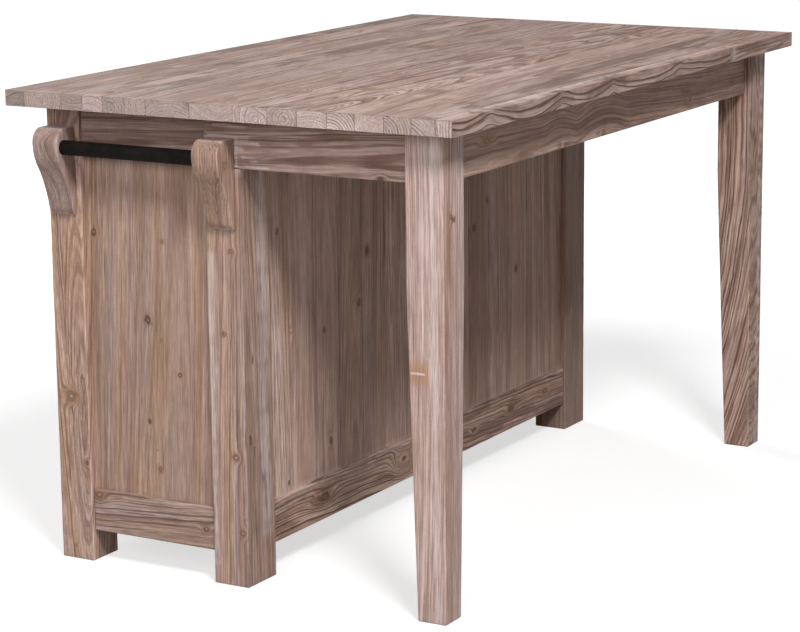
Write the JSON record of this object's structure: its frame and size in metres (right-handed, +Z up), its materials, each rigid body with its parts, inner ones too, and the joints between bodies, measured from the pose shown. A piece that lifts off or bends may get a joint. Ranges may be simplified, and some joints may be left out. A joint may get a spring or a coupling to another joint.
{
  "type": "kitchen island",
  "caption": "Kitchen island: plank worktop on a panelled cabinet with drawers and doors, a seating overhang on tapered legs, and a towel bar between scrolled brackets.",
  "frame": {"origin": "on the floor, under the middle of the worktop", "axes": "+Z up; +X along the length, away from the towel-bar end; +Y across, towards the working side with the drawers and doors"},
  "size_m": [1.525, 0.95, 0.914],
  "materials": {
    "limed_pine": "wire-brushed and limed, matt",
    "bare_pine": "planed, unfinished",
    "black_metal": "satin black",
    "dark_steel": "blackened steel"
  },
  "bodies": {
    "frame": {"cabinet_floor": "bare_pine", "corbel_seat": "limed_pine", "corbel_work": "limed_pine", "corner_braces": "bare_pine", "door_catches": "dark_steel", "drawer_runners": "bare_pine", "end_apron_far": "limed_pine", "end_apron_near": "limed_pine", "end_bottom_rail_far": "limed_pine", "end_bottom_rail_near": "limed_pine", "end_panel_far": "limed_pine", "end_panel_near": "limed_pine", "end_top_rail_far": "limed_pine", "end_top_rail_near": "limed_pine", "face_bottom_rail": "limed_pine", "face_middle_rails": "limed_pine", "face_stiles": "limed_pine", "face_top_rail": "limed_pine", "hinge_frame_leaves": "dark_steel", "hinge_pins": "dark_steel", "leg_far": "limed_pine", "leg_near": "limed_pine", "partitions": "bare_pine", "seat_apron": "limed_pine", "seat_boards": "limed_pine", "seat_bottom_rail": "limed_pine", "seat_post_far": "limed_pine", "seat_post_near": "limed_pine", "seat_top_rail": "limed_pine", "shelf_cleats": "bare_pine", "shelves": "bare_pine", "top_buttons": "bare_pine", "towel_bar": "black_metal", "work_post_far": "limed_pine", "work_post_near": "limed_pine", "worktop": "limed_pine"},
    "door_1": {"door_1_fittings": "dark_steel", "door_1_frame": "limed_pine", "door_1_knob": "black_metal", "door_1_panel": "limed_pine"},
    "door_2": {"door_2_fittings": "dark_steel", "door_2_frame": "limed_pine", "door_2_knob": "black_metal", "door_2_panel": "limed_pine"},
    "door_3": {"door_3_fittings": "dark_steel", "door_3_frame": "limed_pine", "door_3_knob": "black_metal", "door_3_panel": "limed_pine"},
    "drawer_1": {"drawer_1_bottom": "bare_pine", "drawer_1_box": "bare_pine", "drawer_1_front": "limed_pine", "drawer_1_knob": "black_metal"},
    "drawer_2": {"drawer_2_bottom": "bare_pine", "drawer_2_box": "bare_pine", "drawer_2_front": "limed_pine", "drawer_2_knob": "black_metal"},
    "drawer_3": {"drawer_3_bottom": "bare_pine", "drawer_3_box": "bare_pine", "drawer_3_front": "limed_pine", "drawer_3_knob": "black_metal"}
  },
  "joints": [
    {"name": "drawer_1_slide", "type": "slide", "parent": "frame", "child": "drawer_1", "axis": [0, 1, 0], "range_m": [0, 0.25]},
    {"name": "drawer_2_slide", "type": "slide", "parent": "frame", "child": "drawer_2", "axis": [0, 1, 0], "range_m": [0, 0.25]},
    {"name": "drawer_3_slide", "type": "slide", "parent": "frame", "child": "drawer_3", "axis": [0, 1, 0], "range_m": [0, 0.25]},
    {"name": "door_1_hinge", "type": "hinge", "parent": "frame", "child": "door_1", "pos_m": [-0.623, 0.432, 0.4095], "axis": [0, 0, 1], "range_deg": [0, 105]},
    {"name": "door_2_hinge", "type": "hinge", "parent": "frame", "child": "door_2", "pos_m": [-0.19167, 0.432, 0.4095], "axis": [0, 0, 1], "range_deg": [0, 105]},
    {"name": "door_3_hinge", "type": "hinge", "parent": "frame", "child": "door_3", "pos_m": [0.623, 0.432, 0.4095], "axis": [0, 0, -1], "range_deg": [0, 105]}
  ]
}
